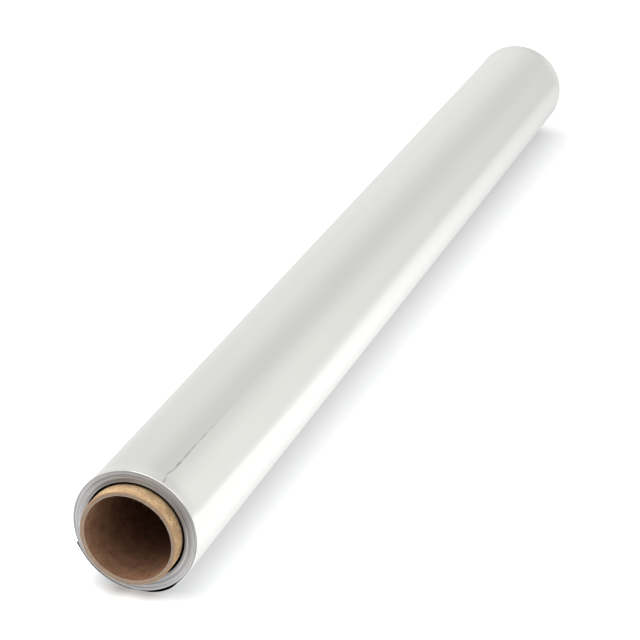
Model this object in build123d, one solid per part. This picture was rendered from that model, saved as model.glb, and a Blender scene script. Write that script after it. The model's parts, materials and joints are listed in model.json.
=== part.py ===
from build123d import *
import os
from math import acos, ceil, cos, degrees, radians, sin, sqrt

# An aluminium foil roll lying on its side: a web of foil wound on a card core.
# X runs along the roll, Z is up, and the origin is on the surface under the middle of the roll.
# Lengths are in millimetres. Angles are in degrees, in the section seen along the roll, from +Y towards +Z.

# Foil
FOIL_WIDTH = 450.0  # width of the web, which is the length of the wound part
FOIL_BUILD = 4.45  # depth of wound foil, from its bore to where its free end leaves the roll
TURN_THICKNESS = 0.28  # one drawn turn stands for a bundle of real layers
TURN_GAP = 0.12  # open line between two drawn turns at the ends of the roll
TURN_DEPTH = 0.35  # how far that line reaches in from each end

# Free edge of the web
TAIL_ANGLE = 330.0  # where the web leaves the roll
TAIL_LENGTH = 3.2  # straight run from there to the cut edge

# Outermost turn where the roll rests: pressed flat, then slack before it lies on the roll again
FLAT_WIDTH = 5.0
SLACK_ANGLE = 222.0  # where the slack turn meets the roll
SLACK_RISE = 0.6  # most that it stands off, beyond the ordinary gap between turns

# Card core
CORE_BORE_DIAMETER = 28.4
CORE_WALL = 1.4
CORE_PROUD = 4.6  # how far it stands out of the foil at each end
CORE_EDGE_BREAK = 0.25  # bevel that softens its cut edges
CORE_CLEARANCE = 0.55  # between the core and the foil, on the radius
CORE_ASIDE = 0.3  # how far the loose core lies to the +Y side in the foil
CORE_DROP = 0.25  # how far it has sunk in the foil

# Derived sizes
TURN_PITCH = TURN_THICKNESS + TURN_GAP
CORE_OUTER_RADIUS = CORE_BORE_DIAMETER / 2 + CORE_WALL
FOIL_BORE_RADIUS = CORE_OUTER_RADIUS + CORE_CLEARANCE
ROLL_RADIUS = FOIL_BORE_RADIUS + FOIL_BUILD
CORE_LENGTH = FOIL_WIDTH + 2 * CORE_PROUD
OUTER_RADIUS = ROLL_RADIUS - TURN_PITCH / 4  # of the outermost half turn
FLOOR_DISTANCE = sqrt(OUTER_RADIUS**2 - (FLAT_WIDTH / 2) ** 2)  # from that half turn's centre
AXIS_HEIGHT = FLOOR_DISTANCE - TURN_PITCH / 4 * sin(radians(TAIL_ANGLE))


def polar(centre, radius, angle):
    """Point of the section at an angle on a circle."""
    return (centre[0] + radius * cos(radians(angle)), centre[1] + radius * sin(radians(angle)))


def arc(centre, radius, first, last):
    """Arc of the section between two angles on a circle."""
    return ThreePointArc(
        polar(centre, radius, first),
        polar(centre, radius, (first + last) / 2),
        polar(centre, radius, last),
    )


def half_turn(index):
    """Centre and outer radius of a half turn of the spiral, counted inwards from the free edge.

    Half circles about two centres, half a pitch apart, join smoothly into a spiral.
    """
    side = 1 if index % 2 == 0 else -1
    centre = polar((0, AXIS_HEIGHT), side * TURN_PITCH / 4, TAIL_ANGLE)
    return centre, OUTER_RADIUS - index * TURN_PITCH / 2


def turn_arcs(inset, first, last):
    """Arcs that follow the spiral inwards between two angles, an inset below the web's outer face.

    Angles fall by 360 for each turn inwards from TAIL_ANGLE.
    """
    arcs = []
    for index in range(int((TAIL_ANGLE - first) // 180), ceil((TAIL_ANGLE - last) / 180)):
        centre, radius = half_turn(index)
        begin = min(first, TAIL_ANGLE - 180 * index)
        end = max(last, TAIL_ANGLE - 180 * (index + 1))
        arcs.append(arc(centre, radius - inset, begin, end))
    return arcs


def slack_path(inset, start):
    """The slack turn from the flat to where it meets the roll, an inset below the web's outer face."""
    centre, radius = half_turn(0)
    half_bend = radians(270 - SLACK_ANGLE) / 2
    bend_radius = radius - SLACK_RISE / (1 / cos(half_bend) - 1)
    meeting = polar(centre, radius - inset, SLACK_ANGLE)
    slope = -cos(radians(SLACK_ANGLE)) / sin(radians(SLACK_ANGLE))
    corner = (meeting[0] + (inset - meeting[1]) / slope, inset)
    return FilletPolyline(start, corner, meeting, radius=bend_radius - inset)


def foil_outline():
    """Outside of the wound foil, from the free edge once round the roll and back under the free edge."""
    centre, radius = half_turn(0)
    under_radius = radius - TURN_PITCH
    flat_angle = 270 + degrees(acos(FLOOR_DISTANCE / radius))
    flat_start = polar(centre, radius, flat_angle)
    tail_start = polar(centre, radius, TAIL_ANGLE)
    tail_under = polar(centre, radius - TURN_THICKNESS, TAIL_ANGLE)
    tail_end = polar(tail_start, TAIL_LENGTH, TAIL_ANGLE + 90)
    tail_end_under = polar(tail_under, TAIL_LENGTH, TAIL_ANGLE + 90)
    return make_face(
        [
            Line(tail_end, tail_start),
            arc(centre, radius, TAIL_ANGLE, flat_angle),
            slack_path(0, flat_start),
            *turn_arcs(0, SLACK_ANGLE, TAIL_ANGLE - 360),
            Line(polar(centre, under_radius, TAIL_ANGLE), tail_under),
            Line(tail_under, tail_end_under),
            Line(tail_end_under, tail_end),
        ]
    )


def slack_opening():
    """Crescent between the slack turn and the turn under it, open through the whole length."""
    centre, radius = half_turn(0)
    under_radius = radius - TURN_PITCH
    start = (centre[0], TURN_THICKNESS)
    meeting = polar(centre, radius - TURN_THICKNESS, SLACK_ANGLE)
    inside = make_face([slack_path(TURN_THICKNESS, start), Line(meeting, centre), Line(centre, start)])
    pressed_half_width = sqrt(under_radius**2 - (FLOOR_DISTANCE - TURN_PITCH) ** 2)
    pressed = Pos(centre[0], centre[1]) * Rectangle(2 * pressed_half_width, 2 * radius)
    return inside - Pos(centre[0], centre[1]) * Circle(under_radius) - pressed


def turn_line(first, last):
    """Open line between one turn and the next, as a face in the section between two angles."""
    outer = turn_arcs(TURN_THICKNESS, first, last)
    inner = turn_arcs(TURN_PITCH, first, last)
    start = Line(outer[0] @ 0, inner[0] @ 0)
    end = Line(outer[-1] @ 1, inner[-1] @ 1)
    return make_face([*outer, end, *inner, start])


def turn_lines():
    """The spiral that the turns draw on an end of the roll, closed only where the roll is pressed flat."""
    half_turns = int((OUTER_RADIUS - TURN_PITCH - FOIL_BORE_RADIUS) / (TURN_PITCH / 2))
    centre, radius = half_turn(0)
    under_radius = radius - TURN_PITCH
    pressed_angle = 270 + degrees(acos((FLOOR_DISTANCE - TURN_PITCH) / under_radius))
    return [
        turn_line(TAIL_ANGLE, pressed_angle),
        turn_line(SLACK_ANGLE, TAIL_ANGLE - 180 * half_turns),
    ]


def foil_roll():
    """The wound web: one solid with a slack outer turn and its turns showing at both ends."""
    section = foil_outline() - slack_opening() - Pos(0, AXIS_HEIGHT) * Circle(FOIL_BORE_RADIUS)
    roll = extrude(Plane.YZ.offset(-FOIL_WIDTH / 2) * section, FOIL_WIDTH)
    for line in turn_lines():
        roll -= extrude(Plane.YZ.offset(-FOIL_WIDTH / 2) * line, TURN_DEPTH)
        roll -= extrude(Plane.YZ.offset(FOIL_WIDTH / 2 - TURN_DEPTH) * line, TURN_DEPTH)
    return roll


def core_tube():
    """The card tube, loose in the foil and a little longer."""
    section = Circle(CORE_OUTER_RADIUS) - Circle(CORE_BORE_DIAMETER / 2)
    middle = Pos(CORE_ASIDE, AXIS_HEIGHT - CORE_DROP)
    tube = extrude(Plane.YZ.offset(-CORE_LENGTH / 2) * middle * section, CORE_LENGTH)
    ends = tube.faces().sort_by(Axis.X)
    return chamfer([*ends[0].edges(), *ends[-1].edges()], CORE_EDGE_BREAK)


os.makedirs("parts", exist_ok=True)
export_step(foil_roll(), "parts/foil_roll.step")
export_step(core_tube(), "parts/core_tube.step")
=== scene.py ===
"""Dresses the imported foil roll: bright foil with its wound edges, on a kraft card core, in a white studio."""

import json
import logging
import math
from dataclasses import dataclass
from enum import Enum, IntEnum

import bmesh
import bpy
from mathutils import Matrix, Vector, noise


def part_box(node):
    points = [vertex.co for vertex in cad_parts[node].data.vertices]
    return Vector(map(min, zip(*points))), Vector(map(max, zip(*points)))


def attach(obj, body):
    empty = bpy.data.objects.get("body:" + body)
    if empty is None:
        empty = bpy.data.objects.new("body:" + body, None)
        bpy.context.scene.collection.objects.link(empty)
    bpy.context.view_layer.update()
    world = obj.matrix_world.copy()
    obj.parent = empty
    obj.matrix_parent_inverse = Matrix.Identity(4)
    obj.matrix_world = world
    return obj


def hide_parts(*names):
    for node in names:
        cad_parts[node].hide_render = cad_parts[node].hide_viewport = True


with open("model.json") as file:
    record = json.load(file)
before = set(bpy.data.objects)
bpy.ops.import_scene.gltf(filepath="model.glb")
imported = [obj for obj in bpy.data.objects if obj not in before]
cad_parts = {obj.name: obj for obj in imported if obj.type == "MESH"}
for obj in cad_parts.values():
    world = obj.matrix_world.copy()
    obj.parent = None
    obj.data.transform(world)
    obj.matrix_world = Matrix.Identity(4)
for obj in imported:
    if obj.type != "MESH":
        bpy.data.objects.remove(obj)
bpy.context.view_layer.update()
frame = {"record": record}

LOG = logging.getLogger("foil_roll")
MM = 0.001
BODY = "root"
EASED = {"interpolation_type": "SMOOTHSTEP"}
QUARTER_TURN = 0.25
STAGE_SHARP = 30.0
EDGE_POINTS = 6  # across the edge of one turn of foil
LINE_POINTS = 4  # of them, round the open line under the turn
WELD = 1e-6  # points about this close are one

# Places in the noise, so that no two patterns are alike
SLOW_EDGE_SEED = (0.3, 0.7)
QUICK_EDGE_SEED = (4.1, 2.3)
CREASE_WAVER_SEED = (2.5, 0.5)
CREASE_BREAK_SEED = (7.5, 1.5)
QUICK_WAVE_SEED = 9.0
CARD_WAVE_SEED = 3.0
CARD_NICK_SEED = 5.0


class FoilFace(IntEnum):
    """Material slots of the wound foil."""

    SKIN = 0
    EDGE = 1
    SLIT = 2


class CardFace(IntEnum):
    """Material slots of the card core."""

    WALL = 0
    CUT = 1
    BORE = 2


class Slot(Enum):
    """Material slots of the record."""

    FOIL = "foil"
    CARD = "core_card"


def linear(colour: str) -> tuple[float, float, float, float]:
    """Turns an sRGB hex colour into linear light.

    Args:
        colour: Colour as "#RRGGBB".

    Returns:
        Linear red, green and blue, with an alpha of 1.
    """
    channels = [int(colour[i : i + 2], 16) / 255 for i in (1, 3, 5)]
    light = [c / 12.92 if c <= 0.04045 else ((c + 0.055) / 1.055) ** 2.4 for c in channels]
    return (*light, 1.0)


def smooth(low: float, high: float, value: float) -> float:
    """Eases from 0 at low to 1 at high.

    Args:
        low: Value that gives 0.
        high: Value that gives 1.
        value: Value to ease.

    Returns:
        Eased share from 0 to 1.
    """
    share = min(max((value - low) / (high - low), 0.0), 1.0)
    return share * share * (3 - 2 * share)


def add_node(
    tree: bpy.types.NodeTree, kind: str, inputs: dict[str | int, object] | None = None, **settings: object
) -> bpy.types.Node:
    """Adds a shader node.

    Args:
        tree: Node tree that takes it.
        kind: Node type, without its ShaderNode prefix.
        inputs: Value or linked socket for each named or numbered input.
        **settings: Node properties.

    Returns:
        The new node.
    """
    node = tree.nodes.new("ShaderNode" + kind)
    for name, value in settings.items():
        setattr(node, name, value)
    for name, value in (inputs or {}).items():
        if isinstance(value, bpy.types.NodeSocket):
            tree.links.new(value, node.inputs[name])
        else:
            node.inputs[name].default_value = value
    return node


def new_material(name: str) -> tuple[bpy.types.Material, bpy.types.NodeTree]:
    """Makes an empty node material.

    Args:
        name: Its name.

    Returns:
        The material and its node tree.
    """
    material = bpy.data.materials.new(name)
    material.use_nodes = True
    material.node_tree.nodes.clear()
    return material, material.node_tree


def make_piece(
    name: str, bm: bmesh.types.BMesh, materials: list[bpy.types.Material], sharp: float
) -> bpy.types.Object:
    """Turns a bmesh into a smooth-shaded object at the origin.

    Args:
        name: Name of the piece.
        bm: Its mesh, which is freed.
        materials: Its materials in slot order.
        sharp: Edges that turn by more than this many degrees stay sharp.

    Returns:
        The new object.
    """
    mesh = bpy.data.meshes.new(name)
    bm.to_mesh(mesh)
    bm.free()
    for material in materials:
        mesh.materials.append(material)
    mesh.shade_smooth()
    mesh.set_sharp_from_angle(angle=math.radians(sharp))
    piece = bpy.data.objects.new(name, mesh)
    bpy.context.scene.collection.objects.link(piece)
    return piece


def only_mirrored(sheet: bpy.types.Object) -> None:
    """Leaves a stage sheet to be seen in reflections alone.

    Args:
        sheet: The sheet.
    """
    sheet.visible_camera = False
    sheet.visible_diffuse = False
    sheet.visible_shadow = False


@dataclass(frozen=True)
class BrightFoil:
    """Bright-rolled aluminium foil.

    The polished rolls leave a near mirror with fine lines along the web, which on a roll run round it and
    spread each reflection along the roll.
    """

    colour: str = "#E9E9E6"
    # Painted shade along the crease, over its shallow groove
    crease_shade_colour: str = "#A0A0A4"
    roughness: float = 0.2
    roughness_swing: float = 0.03
    anisotropy: float = 0.45
    line_width: float = 0.7 * MM  # real lines are a tenth of this and would not show
    line_length: float = 125.0 * MM
    line_height: float = 0.02 * MM
    line_strength: float = 0.04

    def material(self) -> bpy.types.Material:
        """Builds the node material.

        Returns:
            The material.
        """
        material, tree = new_material("bright_rolled_foil")
        web = add_node(tree, "UVMap", uv_map="web").outputs[0]
        scale = (1 / self.line_length, 1 / self.line_width, 1.0)
        lines = add_node(tree, "Mapping", {"Vector": web, "Scale": scale}).outputs[0]
        grain = add_node(tree, "TexNoise", {"Vector": lines, "Scale": 1.0, "Detail": 3.0}).outputs["Fac"]
        ridges = {"Strength": self.line_strength, "Distance": self.line_height, "Height": grain}
        bump = add_node(tree, "Bump", ridges)
        # Painted shade: the colour darkens along the crease.
        crease = add_node(tree, "Attribute", attribute_name="crease").outputs["Fac"]
        tones = {0: crease, 6: linear(self.colour), 7: linear(self.crease_shade_colour)}
        colour = add_node(tree, "Mix", tones, data_type="RGBA")
        low, high = self.roughness - self.roughness_swing, self.roughness + self.roughness_swing
        rough = add_node(tree, "MapRange", {"Value": grain, 3: low, 4: high})
        along = add_node(tree, "Tangent", direction_type="UV_MAP", uv_map="web")
        surface = {
            "Base Color": colour.outputs[2],
            "Metallic": 1.0,
            "Roughness": rough.outputs[0],
            "Anisotropic": self.anisotropy,
            "Anisotropic Rotation": QUARTER_TURN,
            "Normal": bump.outputs[0],
            "Tangent": along.outputs[0],
        }
        shader = add_node(tree, "BsdfPrincipled", surface)
        add_node(tree, "OutputMaterial", {"Surface": shader.outputs[0]})
        return material


@dataclass(frozen=True)
class WoundEdge:
    """Slit edges of many turns of foil, pressed together.

    A dull grey metal with streaks that follow the turns, which are paler towards the outside.
    """

    dark: str = "#98979A"
    light: str = "#EEEDEC"
    roughness: float = 0.38
    anisotropy: float = 0.7
    streaks_per_turn: float = 2.5
    streaks_across: float = 1.5
    streak_range: tuple[float, float] = (0.34, 0.66)
    turns: int = 10
    inner_tone: float = 0.82
    outer_tone: float = 1.12

    def material(self) -> bpy.types.Material:
        """Builds the node material.

        Returns:
            The material.
        """
        material, tree = new_material("wound_foil_edge")
        web = add_node(tree, "UVMap", uv_map="web").outputs[0]
        scale = (self.streaks_per_turn, self.streaks_across, 1.0)
        stretch = add_node(tree, "Mapping", {"Vector": web, "Scale": scale}).outputs[0]
        streak = add_node(tree, "TexNoise", {"Vector": stretch, "Scale": 1.0, "Detail": 2.0}).outputs["Fac"]
        low, high = self.streak_range
        share = add_node(tree, "MapRange", {"Value": streak, 1: low, 2: high}).outputs[0]
        tones = {0: share, 6: linear(self.dark), 7: linear(self.light)}
        colour = add_node(tree, "Mix", tones, data_type="RGBA").outputs[2]
        turn = add_node(tree, "SeparateXYZ", {0: web}).outputs["X"]
        outwards = {"Value": turn, 1: 1.0 - self.turns, 2: 1.0, 3: self.inner_tone, 4: self.outer_tone}
        tone = add_node(tree, "MapRange", outwards).outputs[0]
        toned = add_node(tree, "VectorMath", {0: colour, "Scale": tone}, operation="SCALE")
        around = add_node(tree, "Tangent", direction_type="RADIAL", axis="X")
        surface = {
            "Base Color": toned.outputs[0],
            "Metallic": 1.0,
            "Roughness": self.roughness,
            "Anisotropic": self.anisotropy,
            "Anisotropic Rotation": QUARTER_TURN,
            "Tangent": around.outputs[0],
        }
        shader = add_node(tree, "BsdfPrincipled", surface)
        add_node(tree, "OutputMaterial", {"Surface": shader.outputs[0]})
        return material


@dataclass(frozen=True)
class ShadedFoil:
    """Foil deep between two turns, where little light gets: a dark grey painted shade, so that the open slit
    reads as a hole.
    """

    colour: str = "#3A3A3C"
    roughness: float = 0.25

    def material(self) -> bpy.types.Material:
        """Builds the node material.

        Returns:
            The material.
        """
        material, tree = new_material("foil_in_slit_painted_shade")
        surface = {"Base Color": linear(self.colour), "Metallic": 1.0, "Roughness": self.roughness}
        shader = add_node(tree, "BsdfPrincipled", surface)
        add_node(tree, "OutputMaterial", {"Surface": shader.outputs[0]})
        return material


@dataclass(frozen=True)
class KraftCard:
    """Spiral-wound kraft card: matt, with dark specks and soft pale and dark mottling.

    Where foil covers it hardly any light gets in, so a painted shade darkens its colour a little way under the
    foil.
    """

    name: str
    base: str
    fleck: str
    pale: str
    fibre: float = 0.7 * MM
    fibre_height: float = 0.05 * MM
    fibre_strength: float = 0.35
    fleck_range: tuple[float, float] = (0.33, 0.43)
    fleck_share: float = 0.9
    mottle: float = 3.2 * MM
    mottle_range: tuple[float, float] = (0.35, 0.65)
    roughness: float = 0.88
    specular: float = 0.3
    covered: float = 0.0  # half the width of the foil round it, or 0 where there is none
    # Painted shade: the dark brown the colour turns to under the foil, and how deep under it that happens.
    painted_shade: str = "#20150E"
    painted_shade_span: tuple[float, float] = (0.5 * MM, 1.3 * MM)

    def material(self) -> bpy.types.Material:
        """Builds the node material.

        Returns:
            The material.
        """
        material, tree = new_material(self.name)
        place = add_node(tree, "TexCoord").outputs["Object"]
        fibres = add_node(tree, "TexNoise", {"Vector": place, "Scale": 1 / self.fibre, "Detail": 5.0})
        mottling = add_node(tree, "TexNoise", {"Vector": place, "Scale": 1 / self.mottle, "Detail": 4.0})
        low, high = self.fleck_range
        specks = {"Value": fibres.outputs["Fac"], 1: low, 2: high, 3: self.fleck_share, 4: 0.0}
        flecks = add_node(tree, "MapRange", specks)
        low, high = self.mottle_range
        pales = add_node(tree, "MapRange", {"Value": mottling.outputs["Fac"], 1: low, 2: high})
        tones = {0: pales.outputs[0], 6: linear(self.base), 7: linear(self.pale)}
        ground = add_node(tree, "Mix", tones, data_type="RGBA")
        tones = {0: flecks.outputs[0], 6: ground.outputs[2], 7: linear(self.fleck)}
        colour = add_node(tree, "Mix", tones, data_type="RGBA")
        # Painted shade: the colour darkens to dark brown just inside the foil's end, where the foil hides the
        # card.
        if self.covered:
            x = add_node(tree, "SeparateXYZ", {0: place}).outputs["X"]
            endways = add_node(tree, "Math", {0: x}, operation="ABSOLUTE").outputs[0]
            start, end = (self.covered - depth for depth in self.painted_shade_span)
            painted_shade_mask = add_node(tree, "MapRange", {"Value": endways, 1: start, 2: end}, **EASED)
            tones = {0: painted_shade_mask.outputs[0], 6: colour.outputs[2], 7: linear(self.painted_shade)}
            colour = add_node(tree, "Mix", tones, data_type="RGBA")
        height = fibres.outputs["Fac"]
        ridges = {"Strength": self.fibre_strength, "Distance": self.fibre_height, "Height": height}
        bump = add_node(tree, "Bump", ridges)
        surface = {
            "Base Color": colour.outputs[2],
            "Roughness": self.roughness,
            "Specular IOR Level": self.specular,
            "Normal": bump.outputs[0],
        }
        shader = add_node(tree, "BsdfPrincipled", surface)
        add_node(tree, "OutputMaterial", {"Surface": shader.outputs[0]})
        return material


@dataclass(frozen=True)
class CutCard:
    """Cut end of the card: a pale lip at the bore, grey-brown plies, and a worn tan edge at the outside."""

    lip: str = "#A6927C"
    plies: str = "#8E7A69"
    worn: str = "#A1825F"
    speck: float = 0.9 * MM
    speck_height: float = 0.06 * MM
    speck_strength: float = 0.4
    waver: float = 0.3
    waver_range: tuple[float, float] = (0.3, 0.7)
    roughness: float = 0.9

    def material(self) -> bpy.types.Material:
        """Builds the node material.

        Returns:
            The material.
        """
        material, tree = new_material("kraft_card_cut_end")
        place = add_node(tree, "TexCoord").outputs["Object"]
        grit = {"Vector": place, "Scale": 1 / self.speck, "Detail": 4.0}
        specks = add_node(tree, "TexNoise", grit).outputs["Fac"]
        ply = add_node(tree, "Attribute", attribute_name="ply")
        low, high = self.waver_range
        waver = add_node(tree, "MapRange", {"Value": specks, 1: low, 2: high, 3: -self.waver, 4: self.waver})
        depth = add_node(tree, "Math", {0: ply.outputs["Fac"], 1: waver.outputs[0]}, operation="ADD")
        ramp = add_node(tree, "ValToRGB", {"Fac": depth.outputs[0]})
        elements = ramp.color_ramp.elements
        stops = ((0.05, self.lip), (0.28, self.plies), (0.5, self.plies), (0.85, self.worn))
        while len(elements) < len(stops):
            elements.new(0.5)
        for element, (share, colour) in zip(elements, stops):
            element.position = share
            element.color = linear(colour)
        ridges = {"Strength": self.speck_strength, "Distance": self.speck_height, "Height": specks}
        bump = add_node(tree, "Bump", ridges)
        surface = {"Base Color": ramp.outputs[0], "Roughness": self.roughness, "Normal": bump.outputs[0]}
        shader = add_node(tree, "BsdfPrincipled", surface)
        add_node(tree, "OutputMaterial", {"Surface": shader.outputs[0]})
        return material


@dataclass
class WoundFoil:
    """The web of foil as it lies wound: turns, free edge, pressed flat, slack turn and crease.

    Lengths are in metres. Angles are in degrees, seen along the roll, from +Y towards +Z, and fall by 360 for
    each turn inwards from the free edge.
    """

    width: float
    axis_height: float
    bore_radius: float
    build: float = 4.45 * MM
    turn_thickness: float = 0.28 * MM
    turn_gap: float = 0.12 * MM
    line_depth: float = 0.35 * MM
    tail_angle: float = 330.0
    tail_length: float = 3.2 * MM
    flat_width: float = 5.0 * MM
    slack_angle: float = 222.0
    slack_rise: float = 0.6 * MM
    free_thickness: float = 0.1 * MM
    thinning: float = 14.0
    tight_angle: float = 115.0
    tightness: float = 0.09
    column_step: float = 2.5
    column_room: float = 0.25  # least angle between a column and one that must be there
    end_room: float = 0.5
    fine_reach: float = 3.6
    fine_step: float = 0.3
    fine_columns: int = 25
    rows: int = 300
    rim_round: float = 0.14 * MM
    turn_round: float = 0.06 * MM
    most_round: float = 0.8  # share of a turn's thickness
    spare_angle: float = 1.0
    edge_unevenness: float = 0.08 * MM
    edge_waves: tuple[tuple[float, float], ...] = ((140.0, 0.8), (11.0, 0.35))  # length in degrees, and share
    crease_angle: float = 118.0
    crease_length: float = 58.0 * MM
    crease_width: float = 0.40 * MM
    crease_depth: float = 0.05 * MM
    crease_bends: tuple[tuple[float, float, float], ...] = (  # start, end and turn in degrees
        (1.0 * MM, 6.5 * MM, -2.1),
        (6.5 * MM, 9.5 * MM, 1.8),
        (20.0 * MM, 70.0 * MM, 2.2),
    )
    crease_waver: tuple[float, float] = (4.0 * MM, 0.3)  # length, and swing in degrees
    crease_breaks: tuple[float, float, float] = (2.5 * MM, 0.7, 0.9)  # length, mean and swing
    crease_start: tuple[float, float] = (0.3 * MM, 1.2 * MM)
    fade_start: float = 0.2  # share of the length of the crease, and of its ridge
    fold_height: float = 0.1 * MM
    fold_width: float = 2.6 * MM
    fold_length: float = 120.0 * MM
    fold_start: float = 2.5 * MM
    lip_rise: float = 0.3 * MM
    lip_reach: float = 5.0 * MM
    lip_span: tuple[float, ...] = (-18.0, 20.0, 190.0, 220.0)  # where it begins, is whole, wanes and ends
    wave_margin: float = 0.02  # share of the width at each end where the waves die out
    slow_wave: tuple[float, float, float] = (55.0 * MM, 16.0 * MM, 0.03 * MM)  # along, around and high
    quick_wave: tuple[float, float, float] = (14.0 * MM, 7.0 * MM, 0.006 * MM)
    least_step: float = 0.01 * MM  # between two faces that must not meet
    sharp: float = 35.0

    def __post_init__(self) -> None:
        """Works out the sizes that follow from the fields."""
        self.pitch = self.turn_thickness + self.turn_gap
        self.roll_radius = self.bore_radius + self.build
        self.outer_radius = self.roll_radius - self.pitch / 4
        self.floor_distance = math.sqrt(self.outer_radius**2 - (self.flat_width / 2) ** 2)
        self.tail_end = self.tail_angle + math.degrees(math.atan(self.tail_length / self.outer_radius))
        self.flat_end = 270 + math.degrees(math.acos(self.floor_distance / self.outer_radius))
        under = self.outer_radius - self.pitch
        self.pressed = math.degrees(math.acos((self.floor_distance - self.pitch) / under))
        self.half_bend = math.radians(270 - self.slack_angle) / 2
        self.bend_radius = self.outer_radius - self.slack_rise / (1 / math.cos(self.half_bend) - 1)
        self.turns = math.floor((self.build - self.turn_round) / self.pitch)
        self.innermost = self.tail_end - 360 * self.turns

    def last_turn(self) -> list[float]:
        """Lists the angles of the outermost turn's columns, closer together along the crease.

        Returns:
            The angles in rising order.
        """
        first = self.tail_end - 360
        count = (math.ceil(angle / self.column_step) for angle in (first, self.tail_end))
        steps = [self.column_step * i for i in range(*count)]
        angles = {a for a in steps if first + self.end_room < a < self.tail_end - self.end_room}
        fine_start = self.crease_angle - self.fine_reach
        fine = {fine_start + self.fine_step * i for i in range(self.fine_columns)}
        ends = {self.tail_angle, self.slack_angle, 270 - self.pressed, 270 + self.pressed, self.tail_end}
        clear = {a for a in angles if all(abs(a - b) > self.column_room for b in fine | ends)}
        return sorted(clear | fine | ends)

    def columns(self) -> list[float]:
        """Lists the angles of every turn's columns, from the innermost turn to the free edge."""
        last = self.last_turn()
        return sorted(a - 360 * turn for turn in range(self.turns + 1) for a in last)

    def half_turn(self, angle: float) -> tuple[Vector, float]:
        """Finds the half circle of the spiral at an angle.

        Args:
            angle: Angle on the roll.

        Returns:
            The half circle's centre in the section and the radius of the web's outer face on it.
        """
        index = max(math.floor((self.tail_angle - angle) / 180), 0)
        side = 1 if index % 2 == 0 else -1
        shift = side * self.pitch / 4
        direction = math.radians(self.tail_angle)
        centre = Vector((shift * math.cos(direction), self.axis_height + shift * math.sin(direction)))
        return centre, self.outer_radius - index * self.pitch / 2

    def slack_radius(self, angle: float, inset: float) -> float:
        """Measures from the outer half circle's centre to the slack or flattened outer turn.

        Args:
            angle: Angle on the roll, from where the slack ends to where the flat ends.
            inset: Depth below the web's outer face.

        Returns:
            The distance.
        """
        bend = self.bend_radius - inset
        rise = self.floor_distance - self.bend_radius
        line_angle = math.radians(self.slack_angle)
        turned = 2 * self.half_bend
        corner = (self.outer_radius - self.floor_distance * math.cos(turned)) / math.sin(turned)
        across = corner - self.bend_radius * math.tan(self.half_bend)
        ray = math.radians(angle)
        middle = Vector((-across, -rise))
        direction = Vector((math.cos(ray), math.sin(ray)))
        along = middle.dot(direction)
        on_line = (self.outer_radius - inset) / math.cos(ray - line_angle)
        on_floor = (self.floor_distance - inset) / -math.sin(ray)
        reach = bend * bend - (middle.length_squared - along * along)
        on_bend = along + math.sqrt(max(reach, 0.0))
        point = direction * on_bend
        if point.x > middle.x:
            return on_floor
        if (point - middle).dot(Vector((-math.sin(line_angle), math.cos(line_angle)))) < 0:
            return on_line
        return on_bend

    def section(self, angle: float, inset: float) -> Vector:
        """Places a point of the web in the roll's section.

        Args:
            angle: Angle on the roll.
            inset: Depth below the web's outer face.

        Returns:
            Its Y and Z.
        """
        centre, radius = self.half_turn(angle)
        if angle > self.tail_angle:
            start = math.radians(self.tail_angle)
            outward = Vector((math.cos(start), math.sin(start)))
            onward = Vector((-math.sin(start), math.cos(start)))
            run = self.outer_radius * math.tan(math.radians(angle - self.tail_angle))
            return centre + outward * (radius - inset) + onward * run
        tighter = self.tightness * (1 + math.cos(math.radians(angle - self.tight_angle))) / 2
        reach = self.outer_radius - (self.outer_radius - radius + inset) * (1 - tighter)
        if self.slack_angle < angle < self.flat_end:
            reach = self.slack_radius(angle, inset)
        ray = math.radians(angle)
        point = centre + Vector((math.cos(ray), math.sin(ray))) * reach
        if angle < self.tail_end - 360 and point.y < self.turn_thickness + self.least_step:
            point.y = self.turn_thickness + self.least_step
        return point

    def line_reach(self, angle: float) -> float:
        """Gives how far the open line under a turn reaches in from the roll's end.

        Args:
            angle: Angle on the roll.

        Returns:
            The depth: half the width where the gap goes right through.
        """
        if angle >= self.tail_angle or self.slack_angle <= angle <= 270 - self.pressed:
            return self.width / 2
        if 270 - self.pressed < angle < 270 + self.pressed:
            return self.rim_round + self.least_step
        return self.line_depth

    def round_size(self, angle: float) -> float:
        """Gives the rounding of a turn's outer edge: more on the outermost one, which shows on the rim."""
        return self.rim_round if angle > self.tail_end - 360 else self.turn_round

    def unevenness(self, angle: float) -> float:
        """Gives how far a turn's edge stands back from the roll's end.

        Args:
            angle: Angle on the roll.

        Returns:
            The distance.
        """
        (slow_length, slow_share), (quick_length, quick_share) = self.edge_waves
        slow = noise.noise(Vector((angle / slow_length, *SLOW_EDGE_SEED)))
        quick = noise.noise(Vector((angle / quick_length, *QUICK_EDGE_SEED)))
        return self.edge_unevenness * (1 + slow_share * slow + quick_share * quick)

    def thickness_at(self, angle: float) -> float:
        """Gives a turn's thickness: a bundle of layers on the roll, and fewer where it hangs slack.

        Args:
            angle: Angle on the roll.

        Returns:
            The thickness, which on the innermost turn reaches the bore.
        """
        if angle <= self.innermost:
            centre, radius = self.half_turn(angle)
            ray = Vector((math.cos(math.radians(angle)), math.sin(math.radians(angle))))
            return radius + (centre - Vector((0.0, self.axis_height))).dot(ray) - self.bore_radius
        slack = smooth(self.slack_angle, self.slack_angle + self.thinning, angle)
        return self.turn_thickness + (self.free_thickness - self.turn_thickness) * slack

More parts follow.
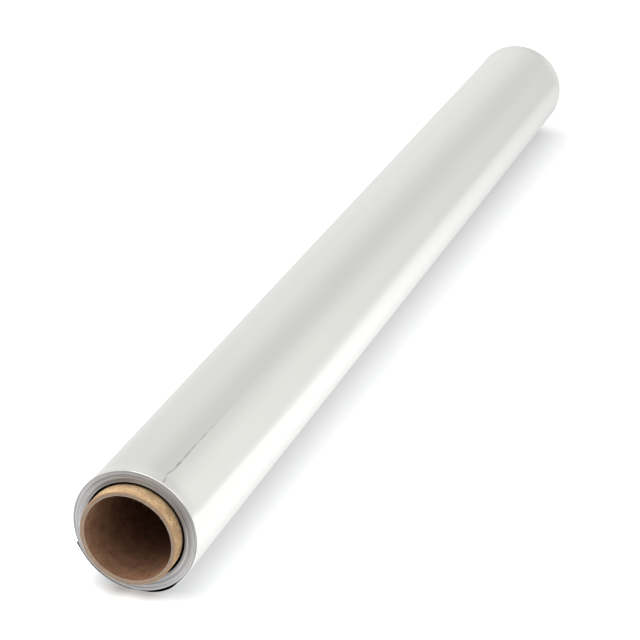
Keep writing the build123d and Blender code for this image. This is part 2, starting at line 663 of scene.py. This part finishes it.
    def edge_points(self, angle: float) -> list[Vector]:
        """Places the points across one turn's edge at the near end.

        Args:
            angle: Angle on the roll.

        Returns:
            Six points, from the line under the turn to its outer face.
        """
        under = angle - 360
        reach = self.line_reach(angle)
        thickness = self.thickness_at(angle)
        low, round_low = self.unevenness(under), self.round_size(under)
        high, round_high = self.unevenness(angle), self.round_size(angle)
        insets = [
            (under, 0.0, low + round_low),
            (under, 0.0, max(reach, low + round_low + self.least_step)),
            (angle, thickness, max(reach, high + self.least_step)),
            (angle, thickness, high),
            (angle, min(round_high, self.most_round * thickness), high),
            (angle, 0.0, high + round_high),
        ]
        end = -self.width / 2
        return [Vector((end + x, *self.section(a, inset))) for a, inset, x in insets]

    def wind(self, bm: bmesh.types.BMesh, angles: list[float], first: int) -> None:
        """Winds a flat strip into the edges of the turns at the near end.

        Args:
            bm: Mesh that takes it.
            angles: Angles of its columns.
            first: First of the six points across the edge that the strip has.
        """
        count = EDGE_POINTS - first
        strip = bmesh.ops.create_grid(bm, x_segments=count - 1, y_segments=len(angles) - 1, size=0.5)
        uv = bm.loops.layers.uv["web"]
        places: dict[bmesh.types.BMVert, tuple[int, int]] = {}
        for vert in strip["verts"]:
            point = round((vert.co.x + 0.5) * (count - 1))
            column = round((vert.co.y + 0.5) * (len(angles) - 1))
            places[vert] = (point + first, column)
        rings = [self.edge_points(a) for a in angles]
        for vert, (point, column) in places.items():
            vert.co = rings[column][point]
        for face in {f for v in strip["verts"] for f in v.link_faces}:
            across = max(places[v][0] for v in face.verts)
            around = min(angles[places[v][1]] for v in face.verts)
            face.material_index = self.finish_of(across, around)
            for loop in face.loops:
                point, column = places[loop.vert]
                loop[uv].uv = (angles[column] / 360, point / (EDGE_POINTS - 1))

    def finish_of(self, across: int, around: float) -> FoilFace:
        """Tells which finish a face of a turn's edge has.

        Args:
            across: Place across the turn, as the outermost of its six points that the face has.
            around: Angle on the roll.

        Returns:
            Bright on the roll's rim, dark painted shade in the slit under the slack turn, and dull elsewhere.
        """
        if across == EDGE_POINTS - 1 and around > self.tail_end - 360 - self.spare_angle:
            return FoilFace.SKIN
        if across < LINE_POINTS and around > self.slack_angle - self.spare_angle:
            return FoilFace.SLIT
        return FoilFace.EDGE

    def crease_at(self, along: float) -> float:
        """Gives the crease's angle: it drifts along the roll, with a jog close to the near end.

        Args:
            along: Distance from the near end.

        Returns:
            The angle.
        """
        bends = sum(turn * smooth(start, end, along) for start, end, turn in self.crease_bends)
        length, swing = self.crease_waver
        waver = swing * noise.noise(Vector((along / length, *CREASE_WAVER_SEED)))
        return self.crease_angle + bends + waver

    def crease_share(self, along: float, angle: float) -> float:
        """Gives how much of the crease there is at a place on the skin.

        Args:
            along: Distance from the near end.
            angle: Angle on the roll.

        Returns:
            A share: 0 off the crease, and about 1 where it is deepest.
        """
        aside = math.radians(abs(angle - self.crease_at(along))) * self.outer_radius
        across = max(0.0, 1 - aside / self.crease_width)
        fading = smooth(self.fade_start, 1.0, along / self.crease_length)
        strength = smooth(*self.crease_start, along) * (1 - fading)
        length, mean, swing = self.crease_breaks
        broken = max(0.0, mean + swing * noise.noise(Vector((along / length, *CREASE_BREAK_SEED))))
        return across * strength * broken

    def fold_rise(self, along: float, angle: float) -> float:
        """Gives the rise of the low ridge that the crease runs along.

        Args:
            along: Distance from the near end.
            angle: Angle on the roll.

        Returns:
            The rise, with a sharp top at the crease.
        """
        aside = math.radians(abs(angle - self.crease_at(along))) * self.outer_radius
        flank = max(0.0, 1 - aside / self.fold_width) ** 2
        fading = smooth(self.fade_start, 1.0, along / self.fold_length)
        strength = smooth(0.0, self.fold_start, along) * (1 - fading)
        return self.fold_height * flank * strength

    def skin_rise(self, along: float, angle: float, across: float) -> float:
        """Gives how far the skin stands above a true winding.

        It has slight waves and a crease on a low ridge, and over the top it flares at both ends.

        Args:
            along: Distance from the near end.
            angle: Angle on the roll.
            across: Place across the width, from 0 to 1.

        Returns:
            The rise, which is below 0 between the flared ends.
        """
        turn = math.radians(angle)
        around = Vector((math.cos(turn), math.sin(turn))) * self.outer_radius
        length, girth, slow_height = self.slow_wave
        slow = noise.noise(Vector((along / length, around.x / girth, around.y / girth)))
        length, girth, quick_height = self.quick_wave
        quick = noise.noise(Vector((along / length, around.x / girth, around.y / girth + QUICK_WAVE_SEED)))
        ends = smooth(0.0, self.wave_margin, min(across, 1 - across))
        waves = (slow_height * (slow - 1) + quick_height * (quick - 1)) * ends
        lip = smooth(0.0, self.lip_reach, min(along, self.width - along)) * self.lip_rise
        begin, whole, wane, end = self.lip_span
        above = smooth(begin, whole, angle) * (1 - smooth(wane, end, angle))
        crease = self.fold_rise(along, angle) - self.crease_depth * self.crease_share(along, angle)
        return waves - lip * above + crease

    def wrap_skin(self, bm: bmesh.types.BMesh) -> None:
        """Wraps a flat sheet round the roll as its outer face.

        Args:
            bm: Mesh that takes it.
        """
        angles = [self.tail_end - 360, *self.last_turn()]
        sheet = bmesh.ops.create_grid(bm, x_segments=self.rows, y_segments=len(angles) - 1, size=0.5)
        uv = bm.loops.layers.uv["web"]
        # Share of the crease, which drives its painted shade.
        crease_shade_mask = bm.verts.layers.float["crease"]
        starts = [self.unevenness(a) + self.round_size(a) for a in angles]
        places: dict[bmesh.types.BMVert, tuple[float, int]] = {}
        for vert in sheet["verts"]:
            across = round((vert.co.x + 0.5) * self.rows) / self.rows
            column = round((vert.co.y + 0.5) * (len(angles) - 1))
            places[vert] = (across, column)
        for vert, (across, column) in places.items():
            angle = angles[column]
            margin = starts[column]
            x = -self.width / 2 + margin + across * (self.width - 2 * margin)
            along = x + self.width / 2
            rise = self.skin_rise(along, angle, across)
            vert.co = Vector((x, *self.section(angle, -rise)))
            vert[crease_shade_mask] = self.crease_share(along, angle)
        for face in {f for v in sheet["verts"] for f in v.link_faces}:
            face.material_index = FoilFace.SKIN
            for loop in face.loops:
                across, column = places[loop.vert]
                loop[uv].uv = (math.radians(angles[column]) * self.outer_radius, across * self.width)

    def build_mesh(self) -> bmesh.types.BMesh:
        """Builds the wound foil as one closed mesh.

        Returns:
            The mesh.
        """
        bm = bmesh.new()
        bm.loops.layers.uv.new("web")
        bm.verts.layers.float.new("crease")
        columns = self.columns()
        start = next(i for i, a in enumerate(columns) if a >= columns[0] + 360 - self.column_room / 2)
        self.wind(bm, columns[start:], 0)
        self.wind(bm, columns[: start + 1], 3)
        cap = [Vector(p) for p in self.edge_points(columns[start])[:4]]
        bmesh.ops.remove_doubles(bm, verts=bm.verts, dist=WELD / 2)
        corners = [min(bm.verts, key=lambda v: (v.co - p).length_squared) for p in cap]
        bm.faces.new(corners).material_index = FoilFace.EDGE
        bmesh.ops.mirror(bm, geom=bm.verts[:] + bm.edges[:] + bm.faces[:], axis="X", merge_dist=WELD)
        middle = [f for f in bm.faces if all(abs(v.co.x) < WELD for v in f.verts)]
        bmesh.ops.delete(bm, geom=middle, context="FACES")
        self.wrap_skin(bm)
        last = self.edge_points(self.tail_end)
        walls = [e for e in bm.edges if self.is_tail_line(e, last[0]) or self.is_tail_line(e, last[3])]
        bmesh.ops.subdivide_edges(bm, edges=walls, cuts=self.rows // 2 - 1)
        bmesh.ops.remove_doubles(bm, verts=bm.verts, dist=2 * WELD)
        rim = [e for e in bm.edges if e.is_boundary]
        LOG.info("open edges before closing: %d", len(rim))
        bore = [e for e in rim if self.radius_of(e) < self.bore_radius + self.pitch]
        # The bore takes the slit's dark painted shade.
        for face in bmesh.ops.bridge_loops(bm, edges=bore)["faces"]:
            face.material_index = FoilFace.SLIT
        bmesh.ops.holes_fill(bm, edges=[e for e in bm.edges if e.is_boundary], sides=0)
        bmesh.ops.recalc_face_normals(bm, faces=bm.faces)
        LOG.info("open edges left: %d", sum(not e.is_manifold for e in bm.edges))
        return bm

    def is_tail_line(self, edge: bmesh.types.BMEdge, corner: Vector) -> bool:
        """Tells whether an edge runs along a third or more of the roll at a corner of the free edge.

        Args:
            edge: The edge.
            corner: The corner.

        Returns:
            True if it does.
        """
        ends = [v.co for v in edge.verts]
        beside = all((Vector(p.yz) - Vector(corner.yz)).length < WELD for p in ends)
        return beside and abs(ends[0].x - ends[1].x) > self.width / 3

    def radius_of(self, edge: bmesh.types.BMEdge) -> float:
        """Gives the distance of an edge's outermost end from the roll's axis."""
        return max(math.hypot(v.co.y, v.co.z - self.axis_height) for v in edge.verts)

    def make(self, skin: BrightFoil, edge: WoundEdge, slit: ShadedFoil) -> bpy.types.Object:
        """Builds and dresses the piece that stands for the wound foil.

        Args:
            skin: Finish of its outer face and rim.
            edge: Finish of its ends.
            slit: Dark painted-shade finish of its bore and of the open slit under the slack turn.

        Returns:
            The piece.
        """
        finishes = [skin.material(), edge.material(), slit.material()]
        piece = make_piece("wound_foil", self.build_mesh(), finishes, self.sharp)
        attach(piece, BODY)
        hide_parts("foil_roll")
        return piece


@dataclass
class CardCore:
    """The card tube in the roll, with its plies showing on the cut ends.

    Lengths are in metres. Its axis is given by Y and Z.
    """

    length: float
    axis: Vector
    bore_radius: float
    wall: float
    plies: int = 4
    edge_break: float = 0.25 * MM
    break_shares: tuple[float, float] = (0.25, 0.35)  # of the edge break, halfway round it
    ply_line: float = 0.06 * MM
    steps: int = 180
    end_depth: float = 8.0 * MM
    unevenness: float = 0.1 * MM
    uneven_reach: tuple[float, float] = (0.5 * MM, 7.0 * MM)
    stand_back: float = 0.7  # mean share of the unevenness
    wave_share: float = 0.6
    nick_shares: tuple[float, float] = (0.3, 0.25)  # endways and outwards
    waves_round: float = 1.6
    nicks_round: float = 9.0
    sharp: float = 40.0

    def end_profile(self) -> list[tuple[float, float]]:
        """Lists the points of the near end's outline, from the bore to the outer wall.

        Returns:
            Depth and radius of each point.
        """
        inner, outer = self.bore_radius, self.bore_radius + self.wall
        soft, deep = self.edge_break, self.end_depth
        back, aside = (share * soft for share in self.break_shares)
        points = [(deep, inner), (soft, inner), (back, inner + aside), (0.0, inner + soft)]
        for ply in range(1, self.plies):
            radius = inner + self.wall * ply / self.plies
            points += [(0.0, radius - self.ply_line), (self.ply_line, radius), (0.0, radius + self.ply_line)]
        points += [(0.0, outer - soft), (back, outer - aside), (soft, outer), (deep, outer)]
        return points

    def build_mesh(self) -> bmesh.types.BMesh:
        """Spins the tube's outline round its axis.

        Returns:
            The mesh.
        """
        bm = bmesh.new()
        near = self.end_profile()
        outline = [(depth - self.length / 2, radius) for depth, radius in near]
        outline += [(self.length / 2 - depth, radius) for depth, radius in reversed(near)]
        verts = [bm.verts.new((x, self.axis.x, self.axis.y + radius)) for x, radius in outline]
        edges = [bm.edges.new((a, b)) for a, b in zip(verts, verts[1:] + verts[:1])]
        bmesh.ops.spin(
            bm,
            geom=verts + edges,
            cent=(0.0, *self.axis),
            axis=(1.0, 0.0, 0.0),
            angle=2 * math.pi,
            steps=self.steps,
            use_merge=True,
        )
        bmesh.ops.remove_doubles(bm, verts=bm.verts, dist=WELD)
        bmesh.ops.recalc_face_normals(bm, faces=bm.faces)
        ply = bm.verts.layers.float.new("ply")
        for vert in bm.verts:
            vert[ply] = (self.radius_of(vert.co) - self.bore_radius) / self.wall
        for face in bm.faces:
            face.material_index = self.finish_of(face.calc_center_median())
        for vert in bm.verts:
            self.soften(vert)
        return bm

    def radius_of(self, place: Vector) -> float:
        """Gives the distance of a place from the tube's axis."""
        return (Vector(place.yz) - self.axis).length

    def finish_of(self, place: Vector) -> CardFace:
        """Tells which finish a place on the tube has.

        Args:
            place: The place.

        Returns:
            The cut finish at the ends, and the wall's or the bore's between them.
        """
        if abs(place.x) > self.length / 2 - self.edge_break:
            return CardFace.CUT
        return CardFace.WALL if self.radius_of(place) > self.bore_radius + self.wall / 2 else CardFace.BORE

    def soften(self, vert: bmesh.types.BMVert) -> None:
        """Moves a point of the cut ends a little, as card cut by a knife is never true.

        Args:
            vert: The point.
        """
        amount = self.unevenness * (1 - smooth(*self.uneven_reach, self.length / 2 - abs(vert.co.x)))
        out = (Vector(vert.co.yz) - self.axis).normalized()
        side = 1 if vert.co.x > 0 else -1
        wave = self.wave_share * noise.noise(Vector((*(out * self.waves_round), side * CARD_WAVE_SEED)))
        nick = noise.noise(Vector((*(out * self.nicks_round), side * CARD_NICK_SEED)))
        endways, outwards = self.nick_shares
        vert.co.x -= side * amount * (self.stand_back + wave + endways * nick)
        vert.co.yz = Vector(vert.co.yz) + out * amount * (wave + outwards * nick)

    def make(self, wall: KraftCard, cut: CutCard, bore: KraftCard) -> bpy.types.Object:
        """Builds and dresses the piece that stands for the core.

        Args:
            wall: Finish of its outside.
            cut: Finish of its cut ends.
            bore: Finish of its bore.

        Returns:
            The piece.
        """
        finishes = [wall.material(), cut.material(), bore.material()]
        piece = make_piece("card_core", self.build_mesh(), finishes, self.sharp)
        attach(piece, BODY)
        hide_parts("core_tube")
        return piece


@dataclass
class Studio:
    """A white sheet on a table, in a pale tent with a darker gap overhead, and the camera.

    The roll mirrors what lies beyond its far end, so the tent there is graded. Behind the camera, a key light
    and a darker room light the card and the floor, and the foil mirrors a pale cloth. The camera sees a white
    backdrop.
    """

    near_end: float
    axis_height: float
    camera_offset: tuple[float, float, float] = (-0.5310, -0.2460, 0.3307)
    yaw: float = 19.395
    pitch: float = 24.154
    lens: float = 125.165
    sensor: float = 36.0
    clip_start: float = 0.01
    gap_normal: tuple[float, float, float] = (0.304, 0.930, -0.2065)
    tent_span: tuple[float, float] = (-0.6, 0.8)
    tent_levels: tuple[tuple[float, float], ...] = (
        (-0.36, 1.02),
        (-0.25, 0.95),
        (-0.19, 0.91),
        (-0.14, 0.81),
        (-0.11, 0.77),
        (-0.02, 0.72),
        (0.09, 0.76),
        (0.21, 0.82),
        (0.33, 0.88),
        (0.43, 0.90),
        (0.60, 0.90),
        (0.73, 0.90),
    )
    tent_tint: tuple[float, float, float] = (1.0, 0.995, 0.98)
    left_dimming: float = 0.10
    top_dimming: float = 0.06
    key_direction: tuple[float, float, float] = (-0.1, 0.55, 0.83)
    key_levels: tuple[float, float] = (0.3, 2.4)
    below_level: float = 1.0
    room_level: float = 0.22
    room_tint: tuple[float, float, float] = (0.85, 1.0, 1.3)
    room_span: tuple[float, float] = (-0.45, -0.85)
    bore_light: tuple[float, float, float, float] = (0.2, 0.4, 0.9, 1.0)
    corners: tuple[tuple[float, float], ...] = ((-0.6, -0.216), (1.2, 0.047), (1.2, 0.82), (-0.6, -0.11))
    paper_depth: float = 0.02 * MM
    reflector_depth: float = 0.04 * MM
    sheet_colour: str = "#C4C4C4"
    shadow_width: float = 11 * MM
    shadow_reach: float = 24 * MM
    shadow_spread: tuple[float, float] = (0.8, 2.0)
    contact_glow: float = 0.30
    open_glow: float = 0.24
    front_glow: float = 0.5
    glow_tint: tuple[float, float, float, float] = (0.988, 1.0, 1.012, 1.0)
    left_glow: float = 0.25
    contact_shade: float = 0.18
    far_shade: float = 0.03
    left_shade: float = 0.14
    left_level: float = 0.88
    tent_radius: float = 4.0
    tent_edge: tuple[float, float] = (0.55, 0.25)
    cloth_levels: tuple[float, float] = (0.5, 0.95)
    lamp_level: float = 1.3

    def camera(self) -> None:
        """Adds the camera, by its place from the middle of the roll's near end."""
        data = bpy.data.cameras.new("camera")
        data.lens = self.lens
        data.sensor_width = self.sensor
        data.clip_start = self.clip_start
        camera = bpy.data.objects.new("camera", data)
        x, y, z = self.camera_offset
        camera.location = (self.near_end + x, y, self.axis_height + z)
        yaw, pitch = math.radians(self.yaw), math.radians(self.pitch)
        level = math.cos(pitch)
        ahead = Vector((level * math.cos(yaw), level * math.sin(yaw), -math.sin(pitch)))
        camera.rotation_euler = ahead.to_track_quat("-Z", "Y").to_euler()
        bpy.context.scene.collection.objects.link(camera)
        bpy.context.scene.camera = camera

    def table(self, name: str, depth: float, material: bpy.types.Material) -> bpy.types.Object:
        """Adds a flat sheet under the roll, which ends just outside the picture on both sides.

        Args:
            name: Name of the sheet.
            depth: How far it lies below the roll.
            material: Its material.

        Returns:
            The sheet.
        """
        bm = bmesh.new()
        grid = bmesh.ops.create_grid(bm, x_segments=1, y_segments=1, size=0.5)
        ordered = sorted(grid["verts"], key=lambda v: math.atan2(v.co.y, v.co.x))
        for vert, (x, y) in zip(ordered, self.corners):
            vert.co = Vector((x, y, -depth))
        sheet = make_piece(name, bm, [material], STAGE_SHARP)
        return sheet

    def paper(self) -> None:
        """Adds the white paper that the camera sees and the foil doesn't mirror.

        It takes the roll's cast shadow, over which its own glow paints light by place: more away from the roll,
        before the near end and on the left, and less close by the roll, under it and towards its far end, which
        leaves painted shade there.
        """
        material, tree = new_material("white_paper")
        place = add_node(tree, "SeparateXYZ", {0: add_node(tree, "TexCoord").outputs["Object"]})
        x, y = place.outputs["X"], place.outputs["Y"]
        near, far = self.near_end, -self.near_end
        beside = add_node(tree, "Math", {0: y}, operation="ABSOLUTE").outputs[0]
        aside = add_node(tree, "MapRange", {"Value": beside, 1: self.shadow_width, 2: 1.0, 3: 0.0, 4: 1.0})
        endways = add_node(tree, "Math", {0: x}, operation="ABSOLUTE").outputs[0]
        past = add_node(tree, "MapRange", {"Value": endways, 1: far, 2: 1.0, 3: 0.0, 4: 1.0})
        away = add_node(tree, "CombineXYZ", {"X": aside.outputs[0], "Y": past.outputs[0]})
        distance = add_node(tree, "VectorMath", {0: away.outputs[0]}, operation="LENGTH").outputs["Value"]
        narrow, wide = self.shadow_spread
        spread = add_node(tree, "MapRange", {"Value": x, 1: near, 2: far, 3: narrow, 4: wide})
        share = add_node(tree, "Math", {0: distance, 1: spread.outputs[0]}, operation="DIVIDE").outputs[0]
        # Painted light on the shadow, and painted shade where it is less: away from the roll, in front, on the
        # left, close on the left, under it, and towards its far end.
        levels = (
            (share, 0.0, self.shadow_reach, self.contact_glow, self.contact_glow + self.open_glow),
            (x, near + 4 * MM, near - 14 * MM, 0.0, self.front_glow),
            (y, 10 * MM, 22 * MM, 0.0, self.left_glow + self.left_shade),
            (y, 0.0, 6 * MM, 0.0, -self.left_shade),
            (beside, 4 * MM, 12 * MM, -self.contact_shade, 0.0),
            (x, -50 * MM, far, 0.0, -self.far_shade),
        )
        glow = 0.0
        for value, *limits in levels:
            span = {"Value": value, **dict(enumerate(limits, 1))}
            level = add_node(tree, "MapRange", span, **EASED).outputs[0]
            glow = add_node(tree, "Math", {0: glow, 1: level}, operation="ADD").outputs[0]
        positive = add_node(tree, "Math", {0: glow, 1: 0.0}, operation="MAXIMUM")
        lit = add_node(tree, "BsdfDiffuse", {"Color": linear(self.sheet_colour)})
        own = add_node(tree, "Emission", {"Color": self.glow_tint, "Strength": positive.outputs[0]})
        both = add_node(tree, "AddShader", {0: lit.outputs[0], 1: own.outputs[0]})
        add_node(tree, "OutputMaterial", {"Surface": both.outputs[0]})
        paper = self.table("paper", self.paper_depth, material)
        paper.visible_glossy = False

    def reflector(self) -> None:
        """Adds the graded sheet under the paper that only the foil mirrors.

        On the right it is brightest towards the near end, with an edge past which it is more even. In front
        of the near end it has a brighter patch on the left.
        """
        material, tree = new_material("reflector")
        place = add_node(tree, "SeparateXYZ", {0: add_node(tree, "TexCoord").outputs["Object"]})
        x, y = place.outputs["X"], place.outputs["Y"]
        near = self.near_end
        shade = add_node(tree, "MapRange", {"Value": y, 1: -9 * MM, 2: -29 * MM, 3: 0.70, 4: 1.0})
        along = add_node(tree, "MapRange", {"Value": x, 1: -50 * MM, 2: 300 * MM, 3: 1.24, 4: 0.90})
        beyond = add_node(tree, "MapRange", {"Value": x, 1: -60 * MM, 2: 350 * MM, 3: 1.0, 4: 0.80})
        spans = {
            "far past": (x, -70 * MM, -30 * MM, 0.0, 1.0),
            "aside past": (y, -62 * MM, -85 * MM, 0.0, 1.0),
            "left": (y, 0.0, 15 * MM, 0.0, 1.0),
            "front": (x, near - 1 * MM, near - 10 * MM, 0.0, 1.0),
            "lit": (y, 10 * MM, 32 * MM, 1.05, 1.9),
            "close by": (x, near - 62 * MM, near - 38 * MM, 0.0, 1.0),
            "dimmer": (x, near - 80 * MM, near - 52 * MM, 0.78, 1.0),
            "brighter": (x, near - 13 * MM, near - 1 * MM, 1.0, 1.25),
            "ended": (x, near, near + 3 * MM, 1.0, 0.0),
        }
        eased = {}
        for name, (value, *limits) in spans.items():
            span = {"Value": value, **dict(enumerate(limits, 1))}
            eased[name] = add_node(tree, "MapRange", span, **EASED).outputs[0]
        close = add_node(tree, "Math", {0: shade.outputs[0], 1: along.outputs[0]}, operation="MULTIPLY")
        past = add_node(tree, "Math", {0: eased["far past"], 1: eased["aside past"]}, operation="MULTIPLY")
        right = add_node(tree, "Mix", {0: past.outputs[0], 2: close.outputs[0], 3: beyond.outputs[0]})
        sides = add_node(tree, "Mix", {0: eased["left"], 2: right.outputs[0], 3: self.left_level})
        patch = add_node(tree, "Mix", {0: eased["close by"], 2: 1.0, 3: eased["lit"]})
        whole = add_node(tree, "Mix", {0: eased["front"], 2: sides.outputs[0], 3: patch.outputs[0]})
        raised = add_node(tree, "Mix", {0: eased["ended"], 2: 1.0, 3: eased["brighter"]})
        both = add_node(tree, "Math", {0: eased["dimmer"], 1: raised.outputs[0]}, operation="MULTIPLY")
        strength = add_node(tree, "Math", {0: whole.outputs[0], 1: both.outputs[0]}, operation="MULTIPLY")
        own = add_node(tree, "Emission", {"Strength": strength.outputs[0]})
        add_node(tree, "OutputMaterial", {"Surface": own.outputs[0]})
        only_mirrored(self.table("reflector", self.reflector_depth, material))

    def tent(self) -> None:
        """Lights the scene from all round.

        Beyond the roll's far end there is a darker gap between the left and right sides. The other way there
        is a key light over a dim bluish room, with a patch that lights the core's bore.
        """
        world = bpy.data.worlds.new("tent")
        world.use_nodes = True
        tree = world.node_tree
        tree.nodes.clear()
        ray = add_node(tree, "TexCoord").outputs["Generated"]
        part = add_node(tree, "SeparateXYZ", {0: ray})
        ahead, up = part.outputs["X"], part.outputs["Z"]
        aside = add_node(tree, "VectorMath", {0: ray, 1: self.gap_normal}, operation="DOT_PRODUCT")
        keyed = add_node(tree, "VectorMath", {0: ray, 1: self.key_direction}, operation="DOT_PRODUCT")
        first, last = self.tent_span
        share = add_node(tree, "MapRange", {"Value": aside.outputs["Value"], 1: first, 2: last})
        ramp = add_node(tree, "ValToRGB", {"Fac": share.outputs[0]})
        elements = ramp.color_ramp.elements
        while len(elements) < len(self.tent_levels):
            elements.new(0.5)
        for element, (place, level) in zip(elements, self.tent_levels):
            element.position = (place - first) / (last - first)
            element.color = (*(level * tint for tint in self.tent_tint), 1.0)
        high = add_node(tree, "MapRange", {"Value": up, 1: 0.35, 2: 1.0, 3: 0.0, 4: self.top_dimming})
        left = add_node(tree, "MapRange", {"Value": aside.outputs["Value"], 1: 0.0, 2: 0.15})
        close = add_node(tree, "MapRange", {"Value": ahead, 1: 0.88, 2: 0.78, 3: 0.0, 4: self.left_dimming})
        parts = {0: left.outputs[0], 1: close.outputs[0], 2: high.outputs[0]}
        dimming = add_node(tree, "Math", parts, operation="MULTIPLY_ADD").outputs[0]
        graded = add_node(tree, "VectorMath", {0: ramp.outputs[0], 1: dimming}, operation="SUBTRACT")
        spans = {
            "down": (up, -0.12, -0.3, 0.0, 1.0),
            "back": (ahead, 0.65, 0.35, 0.0, 1.0),
            "key": (keyed.outputs["Value"], -0.5, 0.8, *self.key_levels),
            "opening": (ahead, *self.room_span, 0.0, 1.0),
            "bore": (ahead, -0.95, -0.985, 0.0, 1.0),
        }
        eased = {}
        for name, (value, *limits) in spans.items():
            span = {"Value": value, **dict(enumerate(limits, 1))}
            eased[name] = add_node(tree, "MapRange", span, **EASED).outputs[0]
        grey = (self.below_level, self.below_level, self.below_level, 1.0)
        dim = (*(self.room_level * tint for tint in self.room_tint), 1.0)
        low = add_node(tree, "Mix", {0: eased["down"], 6: graded.outputs[0], 7: grey}, data_type="RGBA")
        sides = {0: eased["back"], 6: low.outputs[2], 7: eased["key"]}
        whole = add_node(tree, "Mix", sides, data_type="RGBA")
        room = add_node(tree, "Mix", {0: eased["bore"], 6: dim, 7: self.bore_light}, data_type="RGBA")
        views = {0: eased["opening"], 6: whole.outputs[2], 7: room.outputs[2]}
        seen = add_node(tree, "Mix", views, data_type="RGBA")
        light = add_node(tree, "Background", {"Color": seen.outputs[2], "Strength": 1.0})
        backdrop = add_node(tree, "Background", {"Color": (1.0, 1.0, 1.0, 1.0), "Strength": 1.0})
        looking = add_node(tree, "LightPath").outputs["Is Camera Ray"]
        shown = add_node(tree, "MixShader", {0: looking, 1: light.outputs[0], 2: backdrop.outputs[0]})
        add_node(tree, "OutputWorld", {"Surface": shown.outputs[0]})
        bpy.context.scene.world = world

    def cloth(self) -> None:
        """Adds the pale cloth, overhead and behind the camera, and its lamp, which only the foil mirrors."""
        material, tree = new_material("tent_cloth")
        place = add_node(tree, "TexCoord").outputs["Object"]
        ray = add_node(tree, "VectorMath", {0: place}, operation="NORMALIZE").outputs[0]
        part = add_node(tree, "SeparateXYZ", {0: ray})
        ahead, left, up = (part.outputs[axis] for axis in "XYZ")
        aside = add_node(tree, "VectorMath", {0: ray, 1: self.gap_normal}, operation="DOT_PRODUCT")
        off = add_node(tree, "Math", {0: aside.outputs["Value"]}, operation="ABSOLUTE").outputs[0]
        spans = {
            "level": (ahead, -0.95, -0.2, *self.cloth_levels),
            "sky": (up, 0.0, 0.9, 0.6, 1.0),
            "gap": (off, 0.0, 0.35, 0.8, 1.0),
            "lamp": (ahead, -0.64, -0.5, 0.0, self.lamp_level),
            "lamp end": (ahead, -0.36, -0.22, 1.0, 0.0),
            "lamp side": (left, 0.5, 0.25, 0.0, 1.0),
            "lamp foot": (up, 0.3, 0.5, 0.0, 1.0),
            "cover": (ahead, *self.tent_edge, 0.0, 1.0),
        }
        eased = {}
        for name, (value, *limits) in spans.items():
            span = {"Value": value, **dict(enumerate(limits, 1))}
            eased[name] = add_node(tree, "MapRange", span, **EASED).outputs[0]
        products = []
        for first, *others in (("level", "sky", "gap"), ("lamp", "lamp end", "lamp side", "lamp foot")):
            product = eased[first]
            for name in others:
                factors = {0: product, 1: eased[name]}
                product = add_node(tree, "Math", factors, operation="MULTIPLY").outputs[0]
            products.append(product)
        total = add_node(tree, "Math", dict(enumerate(products)), operation="ADD").outputs[0]
        own = add_node(tree, "Emission", {"Strength": total})
        clear = add_node(tree, "BsdfTransparent")
        both = add_node(tree, "MixShader", {0: eased["cover"], 1: clear.outputs[0], 2: own.outputs[0]})
        add_node(tree, "OutputMaterial", {"Surface": both.outputs[0]})
        bm = bmesh.new()
        bmesh.ops.create_uvsphere(bm, u_segments=48, v_segments=24, radius=self.tent_radius)
        bmesh.ops.bisect_plane(
            bm,
            geom=bm.verts[:] + bm.edges[:] + bm.faces[:],
            plane_co=(self.tent_edge[0] * self.tent_radius, 0.0, 0.0),
            plane_no=(1.0, 0.0, 0.0),
            clear_outer=True,
        )
        cloth = make_piece("tent_cloth", bm, [material], STAGE_SHARP)
        only_mirrored(cloth)

    def make(self) -> None:
        """Sets up the whole studio."""
        bpy.context.scene.view_settings.view_transform = "Standard"
        self.camera()
        self.paper()
        self.reflector()
        self.tent()
        self.cloth()


def main() -> None:
    """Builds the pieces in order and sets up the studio."""
    logging.basicConfig(level=logging.INFO, format="%(name)s: %(message)s")
    mount = next(m for m in frame["record"]["mounts"] if m["name"] == "core_bore")
    core_bore = mount["dims"]["r_mm"] * MM
    core_axis = Vector(mount["pos_m"][1:])
    core_wall, clearance, drop = 1.4 * MM, 0.55 * MM, 0.25 * MM
    foil_low, foil_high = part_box("foil_roll")
    core_low, core_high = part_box("core_tube")
    foil = WoundFoil(foil_high.x - foil_low.x, core_axis.y + drop, core_bore + core_wall + clearance)
    core = CardCore(core_high.x - core_low.x, core_axis, core_bore, core_wall)
    # The wall's finish carries painted shade where the foil covers it.
    wall = KraftCard("kraft_card", "#B08F6A", "#765A41", "#CCAD82", covered=foil.width / 2)
    bore = KraftCard("kraft_card_bore", "#7F5B43", "#60442F", "#946D51")
    for piece in (foil.make(BrightFoil(), WoundEdge(), ShadedFoil()), core.make(wall, CutCard(), bore)):
        triangles = sum(len(p.vertices) - 2 for p in piece.data.polygons)
        LOG.info("%s: %d triangles", piece.name, triangles)
    Studio(foil_low.x, foil.axis_height).make()


if __name__ == "__main__":
    main()
